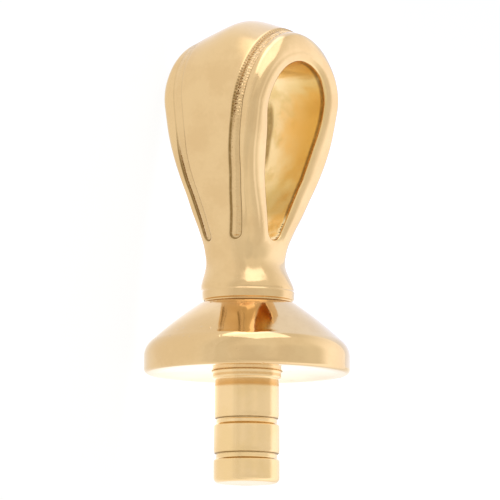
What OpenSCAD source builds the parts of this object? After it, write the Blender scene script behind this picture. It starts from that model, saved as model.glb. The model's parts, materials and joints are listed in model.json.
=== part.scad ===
// Bail finding with a cup and a grooved peg, for hanging a half-drilled bead or pearl.
// Modelled upright on its own axis: the peg points down, the loop stands up, the chain
// passes along X and the front is towards -Y. It is then laid on its left side, as it
// rests on a table: on the rim of the cap and on the side of the loop.

/* [Cap] */
// Diameter of the cap across its rim
cap_d = 4.0; // [3:0.1:6]
// Height of the cap from the rim's plane to the seat of the loop
cap_h = 1.37; // [1.2:0.01:2]
// Height of the upright band at the rim
rim_h = 0.43; // [0.3:0.01:0.6]
// Rounding of the rim's lower edge
rim_r = 0.09; // [0.05:0.01:0.15]
// Rounding where the band turns into the slope
rim_shoulder = 0.08; // [0.04:0.01:0.12]
// Diameter of the flat seat on top of the cap
seat_d = 1.9; // [1.85:0.05:2.2]
// How far the sloping side swells out past a straight cone
slope_swell = 0.03; // [0:0.01:0.1]
// Depth of the shallow dish under the cap, where the bead sits
dish_depth = 0.06; // [0.02:0.01:0.15]
// Width of the flat ring round the dish
dish_ring = 0.16; // [0.05:0.01:0.4]

/* [Peg] */
// Diameter of the peg over its barrels
peg_d = 1.28; // [1.1:0.02:1.5]
// Length of the peg below the rim's plane
peg_l = 2.12; // [2:0.02:4]
// Diameter of the plain shank above the first groove
shank_d = 1.26; // [1.1:0.02:1.5]
// Diameter of the peg's root, where it meets the underside of the cap
root_d = 1.36; // [1.3:0.02:1.56]
// Height of the tapered root
root_h = 0.12; // [0.06:0.01:0.2]
// Depth of the grooves that hold the glue
peg_groove_depth = 0.08; // [0.04:0.005:0.15]
// Width of those grooves
peg_groove_w = 0.23; // [0.1:0.01:0.3]
// Distance of the first groove below the rim's plane
peg_groove_1 = 0.885; // [0.7:0.005:1.1]
// Distance of the second groove below the rim's plane
peg_groove_2 = 1.585; // [1.4:0.005:1.8]
// Rounding of the barrels' edges at the grooves
barrel_r = 0.05; // [0.02:0.01:0.08]
// Rounding of the peg's end
end_r = 0.1; // [0.05:0.01:0.2]
// Diameter of the plain tang that holds the three pieces together
tang_d = 0.84; // [0.6:0.02:0.96]
// Length of the tang inside the foot of the loop
tang_grip = 0.62; // [0.4:0.02:0.8]
// Chamfer at the tang's end
tang_chamfer = 0.05; // [0.02:0.01:0.1]

/* [Loop] */
// Height of the loop from its foot to its crown
loop_h = 5.5; // [5.3:0.01:6.5]
// Width of the loop, along the chain, at its crown
loop_w = 2.54; // [2.3:0.02:2.9]
// Depth of the loop from front to back
loop_depth = 2.88; // [2.8:0.02:3.4]
// Height of the crown's arch above its spring line
arch_h = 1.8; // [1.6:0.02:2]
// Height of the arch of the side edges above the same line
edge_arch_h = 1.19; // [1.14:0.01:1.3]
// Fullness of the arch: 2 is an ellipse, and more is squarer
arch_fullness = 1.95; // [1.8:0.05:2.4]
// How far the side edges lie behind the middle of the front
edge_drop = 0.2; // [0.1:0.01:0.3]
// How far the crown stands over to the right of the axis
crown_over = 0.11; // [0:0.01:0.2]
// Rounding of the crown's ridge, as a share of its half width
ridge_round = 0.2; // [0.1:0.01:0.5]
// Width of the neck
neck_w = 1.22; // [1.16:0.02:1.5]
// Depth of the neck
neck_depth = 1.44; // [1.3:0.02:1.6]
// Diameter of the round core that the neck fades into
neck_d = 1.52; // [1.4:0.02:1.7]
// Diameter of the foot
foot_d = 1.83; // [1.74:0.01:1.88]

/* [Eye] */
// Width of the eye, front to back, at its widest
eye_w = 1.77; // [1.4:0.01:1.8]
// Height of that widest place above the foot
eye_top = 3.68; // [3.5:0.01:3.8]
// Width of the eye half way down
eye_mid_w = 1.29; // [1:0.01:1.35]
// Height of that place above the foot
eye_mid = 2.6; // [2.4:0.01:2.7]
// Width of the eye at its lower end
eye_low_w = 0.4; // [0.2:0.01:0.5]
// Height of the lower end's centre above the foot
eye_low = 1.38; // [1.34:0.01:1.5]

/* [Grooves] */
// Width of the two engraved grooves on the loop
groove_w = 0.18; // [0.1:0.01:0.24]
// Depth of those grooves
groove_depth = 0.035; // [0.02:0.005:0.08]
// Width of their sloping edges
groove_edge = 0.03; // [0.01:0.005:0.05]
// Height above the foot at which the grooves end
groove_foot = 1.12; // [1:0.02:1.4]

/* [Fit] */
// Gap round the tang and at the peg's shoulder
gap = 0.02; // [0.01:0.01:0.06]
// Gap of the seam between the cap and the loop's foot
seam = 0.04; // [0.02:0.01:0.08]

/* [Hidden] */
metal = "#dcb878";
metal_light = "#ead2a0";
round_fn = 96;
arc_steps = 6;
arch_rows = 14;
crease_power = 14;
end_margin = 0.5;

cap_r = cap_d / 2;
seat_r = seat_d / 2;
peg_r = peg_d / 2;
shank_r = shank_d / 2;
tang_r = tang_d / 2;
foot_z = cap_h + seam;
crown_z = foot_z + loop_h;
spring_z = crown_z - arch_h;
rise = spring_z - foot_z;

// Points round part of a circle about a centre, from one angle to another.
function arc(centre, radius, from, to) =
    [for (i = [0:arc_steps]) let (a = from + (to - from) * i / arc_steps)
        centre + radius * [cos(a), sin(a)]];

// The cap has an upright band at the rim, a slightly swollen slope, a flat seat, and a
// shallow dish underneath.
slope_steps = 8;
function swell(t) = slope_swell * sin(180 * t);
slope_foot = [cap_r - rim_shoulder / 2, rim_h + rim_shoulder];
slope_head = [seat_r, cap_h];
slope_normal = [slope_head.y - slope_foot.y, slope_foot.x - slope_head.x]
    / norm(slope_head - slope_foot);
slope_points = [for (i = [0:slope_steps]) let (t = i / slope_steps)
    slope_foot + (slope_head - slope_foot) * t + slope_normal * swell(t)];
dish_r = cap_r - rim_r - dish_ring;
function dish(r) = dish_depth * (1 - r * r / (dish_r * dish_r));
dish_steps = 6;
cap_profile = concat(
    arc([cap_r - rim_r, rim_r], rim_r, -90, 0),
    [[cap_r, rim_h]],
    slope_points,
    [[tang_r + gap, cap_h]],
    [for (i = [0:dish_steps]) let (r = mix(tang_r + gap, dish_r, i / dish_steps)) [r, dish(r)]]);

// The peg has a root that tapers down to a shank, two grooves between barrels with
// rounded upper edges, and the tang. A groove is deepest three quarters of the way down.
function peg_groove(z, above_r) = [
    [above_r, -z + peg_groove_w / 2],
    [peg_r - peg_groove_depth, -z - peg_groove_w / 4]];
function barrel_top(z) =
    arc([peg_r - barrel_r, -z - peg_groove_w / 2 - barrel_r], barrel_r, 90, 0);
shoulder_z = dish(root_d / 2) - gap;
peg_profile = concat(
    [[0, foot_z + tang_grip], [tang_r - tang_chamfer, foot_z + tang_grip],
     [tang_r, foot_z + tang_grip - tang_chamfer], [tang_r, shoulder_z],
     [root_d / 2, shoulder_z], [shank_r, shoulder_z - root_h]],
    peg_groove(peg_groove_1, shank_r), barrel_top(peg_groove_1),
    peg_groove(peg_groove_2, peg_r), barrel_top(peg_groove_2),
    arc([peg_r - end_r, -peg_l + end_r], end_r, 0, -90),
    [[0, -peg_l]]);

// Sections of the loop from its foot to the spring line of the arch. The columns are:
// height as a share of the rise, flare from neck to foot, spread from the neck's width
// to the loop's, swell from the neck's depth to the loop's, drop of the side edges as a
// share of edge_drop, place of the grooves as a share of the half width, how far the
// section has turned from round to square, and how far it stands over as a share of
// crown_over.
AT = 0;
FLARE = 1;
SPREAD = 2;
SWELL = 3;
DROP = 4;
GROOVE = 5;
SQUARE = 6;
OVER = 7;
sections = [
    [0.000, 0.75, 0.00, 0.00, 0.70, 0.46, 0.00, 0.13],
    [0.008, 0.90, 0.00, 0.00, 0.70, 0.46, 0.00, 0.13],
    [0.030, 0.96, 0.00, 0.00, 0.70, 0.46, 0.00, 0.13],
    [0.046, 0.97, 0.00, 0.00, 0.70, 0.46, 0.00, 0.13],
    [0.053, 0.84, 0.00, 0.00, 0.70, 0.46, 0.00, 0.06],
    [0.060, 0.97, 0.00, 0.00, 0.70, 0.46, 0.00, 0.00],
    [0.078, 0.96, 0.00, 0.00, 0.70, 0.46, 0.00, -0.13],
    [0.104, 0.77, 0.00, 0.00, 0.70, 0.46, 0.00, -0.25],
    [0.132, 0.55, 0.00, 0.00, 0.70, 0.46, 0.05, -0.32],
    [0.164, 0.30, 0.00, 0.00, 0.70, 0.46, 0.20, -0.38],
    [0.208, 0.00, 0.00, 0.00, 0.70, 0.46, 0.45, -0.45],
    [0.251, 0.10, 0.03, 0.05, 1.00, 0.46, 0.65, -0.45],
    [0.299, 0.40, 0.10, 0.14, 1.50, 0.47, 0.80, -0.38],
    [0.359, 1.00, 0.16, 0.25, 1.50, 0.51, 0.90, -0.25],
    [0.447, 1.00, 0.25, 0.40, 1.25, 0.55, 1.00, -0.06],
    [0.545, 1.00, 0.32, 0.60, 1.05, 0.60, 1.00, 0.13],
    [0.631, 1.00, 0.41, 0.76, 0.90, 0.64, 1.00, 0.25],
    [0.744, 1.00, 0.54, 0.93, 0.85, 0.64, 1.00, 0.38],
    [0.860, 1.00, 0.68, 0.98, 0.68, 0.62, 1.00, 0.51],
    [1.000, 1.00, 0.80, 1.00, 0.57, 0.63, 1.00, 0.64]];
// Place of the grooves on top of the crown, as a share of the half width
groove_crown = 0.71;
// How much of the fall to the side edges is the crown's curve, on the shaft and on top,
// and how soon the crown reaches its full width.
shaft_crown = 0.8;
arch_crown = 0.65;
arch_spread = 2.2;

// A smooth curve through the table's rows, at a fractional row number.
function row_of(i) = sections[max(0, min(len(sections) - 1, i))];
function section_at(s) =
    let (i = min(floor(s), len(sections) - 2), t = s - i,
         a = row_of(i - 1), b = row_of(i), c = row_of(i + 1), d = row_of(i + 2))
    b + 0.5 * t * ((c - a) + t * ((2 * a - 5 * b + 4 * c - d) + t * (3 * (b - c) + d - a)));
function mix(a, b, t) = a + (b - a) * t;
function ease(t) = let (u = max(0, min(1, t))) u * u * (3 - 2 * u);

// Columns of one quadrant from the middle of the front to the middle of the side: the
// distance from the middle and how much of the groove's depth each has.
beyond_groove = [0.25, 0.5, 0.7, 0.84, 0.94, 1];
side_steps = 3;
function front_columns(half_w, groove_x) =
    let (inner = groove_x - groove_w / 2, outer = groove_x + groove_w / 2)
    concat(
        [[0, 0], [inner / 2, 0], [inner, 0], [inner + groove_edge, 1],
         [outer - groove_edge, 1], [outer, 0]],
        [for (t = beyond_groove) [mix(outer, half_w, t), 0]]);

// The fall across the front is a roof with a round ridge. Where the ridge is far rounder
// than the front is wide, it is a plain curve.
plain = 20;
function roof(u, ridge) = (norm([u, ridge]) - ridge) / (norm([1, ridge]) - ridge);

// One quadrant of a section, as [x, y] from the middle of the front to that of the side.
function quadrant(half_w, depth, drop, crease, groove_x, groove, round_r, square, ridge = plain) =
    let (columns = front_columns(half_w, groove_x), edge_y = depth - drop - crease)
    concat(
        [for (c = columns) let (u = c[0] / half_w, a = 45 * u)
            mix(round_r * [sin(a), cos(a)],
                [c[0], depth - drop * roof(u, ridge) - crease * pow(u, crease_power)
                    - groove * c[1]], square)],
        [for (i = [1:side_steps]) let (t = i / side_steps, a = 45 + 45 * t)
            mix(round_r * [sin(a), cos(a)], [half_w, edge_y * (1 - t)], square)]);

// A whole ring from its quadrant: front right, back right, back left, front left.
function ring(q, z_of, over) =
    let (n = len(q) - 1)
    concat(
        [for (i = [0:n - 1]) [over + q[i].x, -q[i].y, z_of[i]]],
        [for (i = [n:-1:1]) [over + q[i].x, q[i].y, z_of[i]]],
        [for (i = [0:n - 1]) [over - q[i].x, q[i].y, z_of[i]]],
        [for (i = [n:-1:1]) [over - q[i].x, -q[i].y, z_of[i]]]);

function shaft_ring(s) =
    let (r = section_at(s), z = foot_z + rise * r[AT],
         half_w = mix(neck_w, loop_w, r[SPREAD]) / 2,
         drop = edge_drop * r[DROP],
         groove = groove_depth * ease((z - foot_z - groove_foot) / groove_w),
         q = quadrant(half_w, mix(neck_depth, loop_depth, r[SWELL]) / 2,
             shaft_crown * drop, (1 - shaft_crown) * drop, half_w * r[GROOVE], groove,
             mix(neck_d, foot_d, r[FLARE]) / 2, r[SQUARE]))
    ring(q, [for (p = q) z], crown_over * r[OVER]);

// The arch is the same quadrant swung up about the spring line: its depth shrinks with
// the cosine of the angle and its height grows with the sine.
top_row = sections[len(sections) - 1];
spring_w = mix(neck_w, loop_w, top_row[SPREAD]) / 2;
function arch_quadrants(s) =
    let (half_w = mix(spring_w, loop_w / 2, 1 - pow(1 - s, arch_spread)),
         groove_x = half_w * mix(top_row[GROOVE], groove_crown, s),
         drop = edge_drop * top_row[DROP],
         down = arch_h - edge_arch_h)
    [quadrant(half_w, loop_depth / 2, shaft_crown * drop, (1 - shaft_crown) * drop,
         groove_x, groove_depth, 1, 1),
     quadrant(half_w, arch_h, arch_crown * down, (1 - arch_crown) * down, groove_x,
         groove_depth, 1, 1, ridge_round)];
function arch_ring(angle) =
    let (along = pow(cos(angle), 2 / arch_fullness), up = pow(sin(angle), 2 / arch_fullness),
         pair = arch_quadrants(up), wide = pair[0], high = pair[1],
         corner = len(wide) - 1 - side_steps)
    ring([for (p = wide) [p.x, p.y * along]],
        [for (i = [0:len(high) - 1]) spring_z + high[min(i, corner)].y * up],
        crown_over * mix(top_row[OVER], 1, up));

shaft_rows = 2 * (len(sections) - 1);
rings = concat(
    [for (i = [0:shaft_rows]) shaft_ring(i / 2)],
    [for (i = [1:arch_rows - 1]) arch_ring(90 * i / arch_rows)]);
ring_size = len(rings[0]);
last = len(rings);
quarter = ring_size / 4;
corner = quarter - side_steps;

// The crown's ridge closes the rings: front and back share its points.
crown_ring = arch_ring(90);
function ridge_of(j) =
    let (back = j > quarter && j < 3 * quarter,
         k = back ? (2 * quarter - j + ring_size) % ring_size : j)
    k <= quarter ? min(k, corner) : (ring_size - min(ring_size - k, corner)) % ring_size;
function point_id(i, j) =
    let (k = j % ring_size) i * ring_size + (i < last ? k : ridge_of(k));
loop_points = concat([for (r = rings) each r], crown_ring);
loop_faces = concat(
    [[for (j = [0:ring_size - 1]) j]],
    [for (i = [0:last - 1]) for (j = [0:ring_size - 1])
        let (a = point_id(i, j), b = point_id(i, j + 1),
             c = point_id(i + 1, j + 1), d = point_id(i + 1, j))
        each [if (a != b && b != c && a != c) [c, b, a],
              if (a != c && c != d && a != d) [d, c, a]]]);

// How the part lies: its lean is that of the line that touches both the cap's rim and
// the side of the loop, and its lowest point is on the table.
left_line = [for (p = loop_points) [-p.x, p.z]];
loop_side = [for (p = left_line) if (p.y > spring_z - rise / 2) p];
lean = atan(max([for (p = cap_profile)
    min([for (q = loop_side) (p.x - q.x) / (q.y - p.y)])]));
function reach(points, along) = max([for (p = points) p * along]);
lift = reach(concat(cap_profile, loop_side), [cos(lean), sin(lean)]);
peg_end = reach([for (p = peg_profile) [p.x, -p.y]], [sin(lean), cos(lean)]);
loop_end = reach([for (p = loop_points) [p.x, p.z]], [sin(lean), cos(lean)]);

module lay() {
    translate([(loop_end - peg_end) / 2, 0, lift]) rotate([0, -90 - lean, 0]) children();
}

module eye() {
    rotate([90, 0, 90]) linear_extrude(height = loop_w + 2 * end_margin, center = true)
        translate([0, foot_z]) hull() {
            translate([0, eye_top]) circle(d = eye_w, $fn = round_fn);
            translate([0, eye_mid]) circle(d = eye_mid_w, $fn = round_fn);
            translate([0, eye_low]) circle(d = eye_low_w, $fn = round_fn);
        }
}

module bail_loop() {
    color(metal) lay() difference() {
        polyhedron(points = loop_points, faces = loop_faces, convexity = 6);
        eye();
        translate([0, 0, foot_z - end_margin])
            cylinder(r = tang_r + gap, h = end_margin + tang_grip + gap, $fn = round_fn);
    }
}

module cap() {
    color(metal_light) lay() rotate_extrude($fn = round_fn) polygon(cap_profile);
}

module peg() {
    color(metal) lay() rotate_extrude($fn = round_fn) polygon(peg_profile);
}

bail_loop();
cap();
peg();
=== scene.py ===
"""A bail finding with a cup and a grooved peg: its finely modelled pieces, finishes and studio.

Lengths are in millimetres in the part's own upright frame, as on the maker's drawing: z runs
up the axis from the plane of the cap's rim, the chain passes along x, and the front faces -y.
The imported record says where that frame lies, because the part rests on its left side.
"""

from __future__ import annotations

import json
import logging
import math
from dataclasses import dataclass, field
from enum import Enum
from functools import reduce
from typing import Any, NamedTuple

import bmesh
import bpy
import numpy as np
from mathutils import Matrix, Vector

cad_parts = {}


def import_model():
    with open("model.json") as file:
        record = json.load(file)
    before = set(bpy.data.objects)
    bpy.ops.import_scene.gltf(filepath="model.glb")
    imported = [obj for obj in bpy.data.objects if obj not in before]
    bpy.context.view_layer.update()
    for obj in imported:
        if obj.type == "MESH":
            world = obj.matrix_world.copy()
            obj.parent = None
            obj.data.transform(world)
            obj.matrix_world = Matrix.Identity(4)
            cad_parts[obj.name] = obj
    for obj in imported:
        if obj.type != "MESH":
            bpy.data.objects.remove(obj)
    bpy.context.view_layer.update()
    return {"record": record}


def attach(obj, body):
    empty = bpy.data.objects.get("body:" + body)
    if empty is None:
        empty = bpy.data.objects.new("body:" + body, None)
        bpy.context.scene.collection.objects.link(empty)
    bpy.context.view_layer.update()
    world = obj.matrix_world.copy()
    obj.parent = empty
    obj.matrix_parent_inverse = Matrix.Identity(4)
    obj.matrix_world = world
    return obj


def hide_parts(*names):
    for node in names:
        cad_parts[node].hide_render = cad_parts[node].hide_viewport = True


LOG = logging.getLogger("bail_finding")
MM = 0.001
WELD_MM = 0.0008
# The groove mark's value at which the recess mark draws a full dark line of painted shade.
LINE = 0.15


class Mark(Enum):
    """Marks that a mesh carries on its vertices for its finish and its tooling. The recess mark sets painted
    shade and painted amber reflection.
    """

    RECESS = "recess"
    GROOVE = "groove"
    CHATTER = "chatter"
    PATH = "path"
    WALL = "wall"


class Side(Enum):
    """The two sides that the chain enters and leaves by."""

    LEFT = -1.0
    RIGHT = 1.0


def blend(a: Any, b: Any, share: Any) -> Any:
    """Return the value that lies a share of the way from a to b."""
    return a + (b - a) * share


def ease(share: Any) -> Any:
    """Return a share between 0 and 1 with a soft start and end."""
    t = np.clip(share, 0.0, 1.0)
    return t * t * (3.0 - 2.0 * t)


class Band(NamedTuple):
    """A soft change from one value to another, between two places on a scale."""

    start: float
    end: float
    low: float = 0.0
    high: float = 1.0

    def at(self, place: Any) -> Any:
        """Return the value at some places."""
        return blend(self.low, self.high, ease((place - self.start) / (self.end - self.start)))

    def scaled(self, unit: float) -> Band:
        """Return the same change with its places given in another unit."""
        return self._replace(start=self.start * unit, end=self.end * unit)


def arc(centre: tuple[float, float], radius: float, start: float, end: float, steps: int) -> np.ndarray:
    """Place points round part of a circle.

    Args:
        centre: The circle's centre, as distance from the axis and height.
        radius: The circle's radius.
        start: The first angle, in degrees.
        end: The last angle, in degrees.
        steps: How many steps lie between the two.

    Returns:
        The points, one row each.
    """
    angles = np.radians(np.linspace(start, end, steps + 1))
    return np.array(centre) + radius * np.stack([np.cos(angles), np.sin(angles)], 1)


@dataclass(frozen=True)
class Placement:
    """Where the part's upright frame lies in the row's frame."""

    origin: Vector
    chain: Vector
    up: Vector

    @classmethod
    def from_record(cls, record: dict[str, Any]) -> Placement:
        """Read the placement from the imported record's mounts.

        Args:
            record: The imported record.

        Returns:
            The placement that its cup, peg and eye state.
        """
        mounts = {mount["name"]: mount for mount in record["mounts"]}
        up = -Vector(mounts["bead_seat"]["axis"]).normalized()
        chain = Vector(mounts["eye"]["axis"])
        chain = (chain - up * chain.dot(up)).normalized()
        return cls(Vector(mounts["bead_seat"]["pos_m"]), chain, up)

    def matrix(self) -> Matrix:
        """Return the matrix from millimetres in the upright frame to metres in the row's."""
        depth = self.up.cross(self.chain)
        turn = Matrix((self.chain, depth, self.up)).transposed().to_4x4()
        return Matrix.Translation(self.origin) @ turn @ Matrix.Scale(MM, 4)

    def direction(self, azimuth: float, elevation: float) -> Vector:
        """Point from the part towards a viewer.

        Args:
            azimuth: Degrees round the part's axis from its front, towards its right.
            elevation: Degrees above the plane of its rim.

        Returns:
            The unit vector in the row's frame.
        """
        a, e = math.radians(azimuth), math.radians(elevation)
        own = Vector((math.sin(a) * math.cos(e), -math.cos(a) * math.cos(e), math.sin(e)))
        return (self.matrix().to_3x3() @ own).normalized()


class Shell:
    """Patches of quads that are welded into one closed skin."""

    def __init__(self) -> None:
        """Start with no patches."""
        self.points: list[np.ndarray] = []
        self.faces: list[np.ndarray] = []
        self.marks: dict[Mark, list[np.ndarray]] = {mark: [] for mark in Mark}
        self.count = 0

    def patch(self, points: np.ndarray, marks: dict[Mark, np.ndarray] | None = None) -> None:
        """Add one grid of quads.

        Args:
            points: Its vertices, as rows by columns by three.
            marks: Values for some of its marks, as rows by columns. The rest are zero.
        """
        rows, columns = points.shape[:2]
        ids = self.count + np.arange(rows * columns).reshape(rows, columns)
        quads = np.stack([ids[:-1, :-1], ids[:-1, 1:], ids[1:, 1:], ids[1:, :-1]], -1)
        self.points.append(points.reshape(-1, 3))
        self.faces.append(quads.reshape(-1, 4))
        for mark in Mark:
            value = (marks or {}).get(mark)
            self.marks[mark].append(np.zeros(rows * columns) if value is None else value.reshape(-1))
        self.count += rows * columns

    def to_object(self, name: str) -> bpy.types.Object:
        """Weld the patches into one mesh object.

        Args:
            name: The object's name.

        Returns:
            The object, in millimetres in the upright frame.
        """
        mesh = bpy.data.meshes.new(name)
        mesh.from_pydata(np.concatenate(self.points).tolist(), [], np.concatenate(self.faces).tolist())
        for mark, values in self.marks.items():
            layer = mesh.attributes.new(mark.value, "FLOAT", "POINT")
            layer.data.foreach_set("value", np.concatenate(values).astype(np.float32))
        skin = bmesh.new()
        skin.from_mesh(mesh)
        bmesh.ops.remove_doubles(skin, verts=skin.verts, dist=WELD_MM)
        bmesh.ops.recalc_face_normals(skin, faces=skin.faces)
        skin.to_mesh(mesh)
        skin.free()
        mesh.polygons.foreach_set("use_smooth", [True] * len(mesh.polygons))
        obj = bpy.data.objects.new(name, mesh)
        bpy.context.scene.collection.objects.link(obj)
        return obj


class Graph:
    """A short way to write a node tree."""

    def __init__(self, tree: bpy.types.NodeTree) -> None:
        """Wrap a node tree."""
        self.tree = tree

    def node(self, kind: str, values: dict[Any, Any] | None = None, **settings: Any) -> bpy.types.Node:
        """Add a node.

        Args:
            kind: The node's type.
            values: Numbers for its sockets, or the sockets that feed them, by name or place.
            **settings: Its own settings.

        Returns:
            The node.
        """
        made = self.tree.nodes.new(kind)
        for key, value in settings.items():
            setattr(made, key, value)
        for key, value in (values or {}).items():
            if isinstance(value, bpy.types.NodeSocket):
                self.tree.links.new(value, made.inputs[key])
            else:
                made.inputs[key].default_value = value
        return made

    def math(self, operation: str, *values: Any) -> bpy.types.NodeSocket:
        """Return the result of a sum on numbers or sockets."""
        return self.node("ShaderNodeMath", dict(enumerate(values)), operation=operation).outputs[0]

    def times(self, *values: Any) -> bpy.types.NodeSocket:
        """Return the product of numbers or sockets."""
        return reduce(lambda a, b: self.math("MULTIPLY", a, b), values)

    def plus(self, *values: Any) -> bpy.types.NodeSocket:
        """Return the sum of numbers or sockets."""
        return reduce(lambda a, b: self.math("ADD", a, b), values)

    def mix(self, share: Any, first: Any, second: Any) -> bpy.types.NodeSocket:
        """Return the colour that lies a share of the way from the first to the second."""
        ends = [c if isinstance(c, bpy.types.NodeSocket) else (*c, 1.0) for c in (first, second)]
        return self.node("ShaderNodeMix", {0: share, 6: ends[0], 7: ends[1]}, data_type="RGBA").outputs[2]

    def noise(self, place: bpy.types.NodeSocket, seed: Any, scale: Any, detail: float,
              roughness: float = 0.5) -> bpy.types.NodeSocket:
        """Return a noise between 0 and 1.

        Args:
            place: Where it is read.
            seed: Which noise it is.
            scale: How many of its waves go into one unit of place.
            detail: How many finer waves it has.
            roughness: How strong the finer waves are.

        Returns:
            The socket with the noise.
        """
        values = {"Vector": place, "W": seed, "Scale": scale, "Detail": detail, "Roughness": roughness}
        return self.node("ShaderNodeTexNoise", values, noise_dimensions="4D").outputs[0]

    def ramp(self, place: bpy.types.NodeSocket, band: Band) -> bpy.types.NodeSocket:
        """Return a band's value.

        Args:
            place: The place on the band's scale.
            band: The band.

        Returns:
            The socket with the value.
        """
        values = {"Value": place, "From Min": band.start, "From Max": band.end,
                  "To Min": band.low, "To Max": band.high}
        made = self.node("ShaderNodeMapRange", values, interpolation_type="SMOOTHSTEP")
        return made.outputs["Result"]


class Tooling:
    """Geometry Nodes trees for what a lathe, a graver and the tumbling barrel do."""

    def __init__(self, name: str, inputs: dict[str, tuple[str, Any]]) -> None:
        """Start a tree with named inputs.

        Args:
            name: The tree's name.
            inputs: The kind of socket and the default value of each named input.
        """
        self.tree = bpy.data.node_groups.new(name, "GeometryNodeTree")
        self.graph = Graph(self.tree)
        face = self.tree.interface
        face.new_socket("Geometry", in_out="OUTPUT", socket_type="NodeSocketGeometry")
        face.new_socket("Geometry", in_out="INPUT", socket_type="NodeSocketGeometry")
        self.identifiers: dict[str, str] = {}
        for label, (kind, value) in inputs.items():
            socket = face.new_socket(label, in_out="INPUT", socket_type=kind)
            if value is not None:
                socket.default_value = value
            self.identifiers[label] = socket.identifier
        self.given = self.graph.node("NodeGroupInput")

    def close(self, geometry: bpy.types.NodeSocket) -> None:
        """End the tree with real geometry and its material."""
        real = self.graph.node("GeometryNodeRealizeInstances", {"Geometry": geometry})
        dressed = self.graph.node("GeometryNodeSetMaterial",
                                  {"Geometry": real.outputs[0], "Material": self.given.outputs["Material"]})
        out = self.graph.node("NodeGroupOutput")
        self.tree.links.new(dressed.outputs[0], out.inputs[0])

    def apply(self, obj: bpy.types.Object, values: dict[str, Any]) -> None:
        """Run the tree on an object and keep the result as its plain mesh.

        Args:
            obj: The object.
            values: A value for each input that isn't left as it is.
        """
        modifier = obj.modifiers.new(self.tree.name, "NODES")
        modifier.node_group = self.tree
        for label, value in values.items():
            modifier[self.identifiers[label]] = value
        evaluated = obj.evaluated_get(bpy.context.evaluated_depsgraph_get())
        made = bpy.data.meshes.new_from_object(evaluated)
        obj.modifiers.remove(modifier)
        old, obj.data = obj.data, made
        made.name = obj.name
        bpy.data.meshes.remove(old)


def lathe() -> Tooling:
    """Build the tree that turns a profile round the z axis.

    Returns:
        The tree. Its object is the profile, drawn as edges in the x and y plane.
    """
    tool = Tooling("lathe", {
        "Steps": ("NodeSocketInt", 256),
        "Hub": ("NodeSocketFloat", 0.5),
        "Weld": ("NodeSocketFloat", WELD_MM),
        "Material": ("NodeSocketMaterial", None),
    })
    graph, given = tool.graph, tool.given.outputs
    circle = graph.node("GeometryNodeCurvePrimitiveCircle",
                        {"Resolution": given["Steps"], "Radius": given["Hub"]})
    profile = graph.node("GeometryNodeMeshToCurve", {"Mesh": given["Geometry"]})
    turned = graph.node("GeometryNodeCurveToMesh",
                        {"Curve": circle.outputs[0], "Profile Curve": profile.outputs[0]})
    welded = graph.node("GeometryNodeMergeByDistance",
                        {"Geometry": turned.outputs[0], "Distance": given["Weld"]})
    smooth = graph.node("GeometryNodeSetShadeSmooth", {"Geometry": welded.outputs[0]})
    tool.close(smooth.outputs[0])
    return tool


def finishing() -> Tooling:
    """Build the tree for a piece's chatter marks, its filed lumps and the unevenness of its polish.

    Returns:
        The tree. It only takes metal away, along the surface's normal.
    """
    tool = Tooling("finishing", {
        "Unevenness": ("NodeSocketFloat", 0.004),
        "Waves": ("NodeSocketFloat", 1.0),
        "Chatter": ("NodeSocketFloat", 0.0),
        "Pitch": ("NodeSocketFloat", 0.075),
        "Wander": ("NodeSocketFloat", 2.5),
        "Tooth scale": ("NodeSocketFloat", 9.0),
        "Filing": ("NodeSocketFloat", 0.0),
        "Lump scale": ("NodeSocketFloat", 3.2),
        "Seed": ("NodeSocketFloat", 0.0),
        "Material": ("NodeSocketMaterial", None),
    })
    graph, given = tool.graph, tool.given.outputs
    place = graph.node("GeometryNodeInputPosition").outputs[0]
    path, share, wall = (
        graph.node("GeometryNodeInputNamedAttribute", {"Name": mark.value}, data_type="FLOAT").outputs[0]
        for mark in (Mark.PATH, Mark.CHATTER, Mark.WALL))
    slow = graph.noise(place, given["Seed"], given["Waves"], 1.5, 0.4)
    quick = graph.noise(place, given["Seed"], given["Tooth scale"], 2.0)
    lumps = graph.noise(place, given["Seed"], given["Lump scale"], 2.0)
    turns = graph.plus(graph.math("DIVIDE", path, given["Pitch"]), graph.times(quick, given["Wander"]))
    wave = graph.math("ABSOLUTE", graph.math("SINE", graph.times(turns, math.pi)))
    bite = graph.times(wave, share, given["Chatter"], quick, 2.0)
    filed = graph.times(lumps, wall, given["Filing"])
    taken = graph.plus(graph.times(slow, given["Unevenness"]), bite, filed)
    normal = graph.node("GeometryNodeInputNormal").outputs[0]
    cut = graph.node("ShaderNodeVectorMath", {0: normal, "Scale": graph.times(taken, -1.0)},
                     operation="SCALE").outputs[0]
    moved = graph.node("GeometryNodeSetPosition", {"Geometry": given["Geometry"], "Offset": cut})
    tool.close(moved.outputs[0])
    return tool


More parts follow.
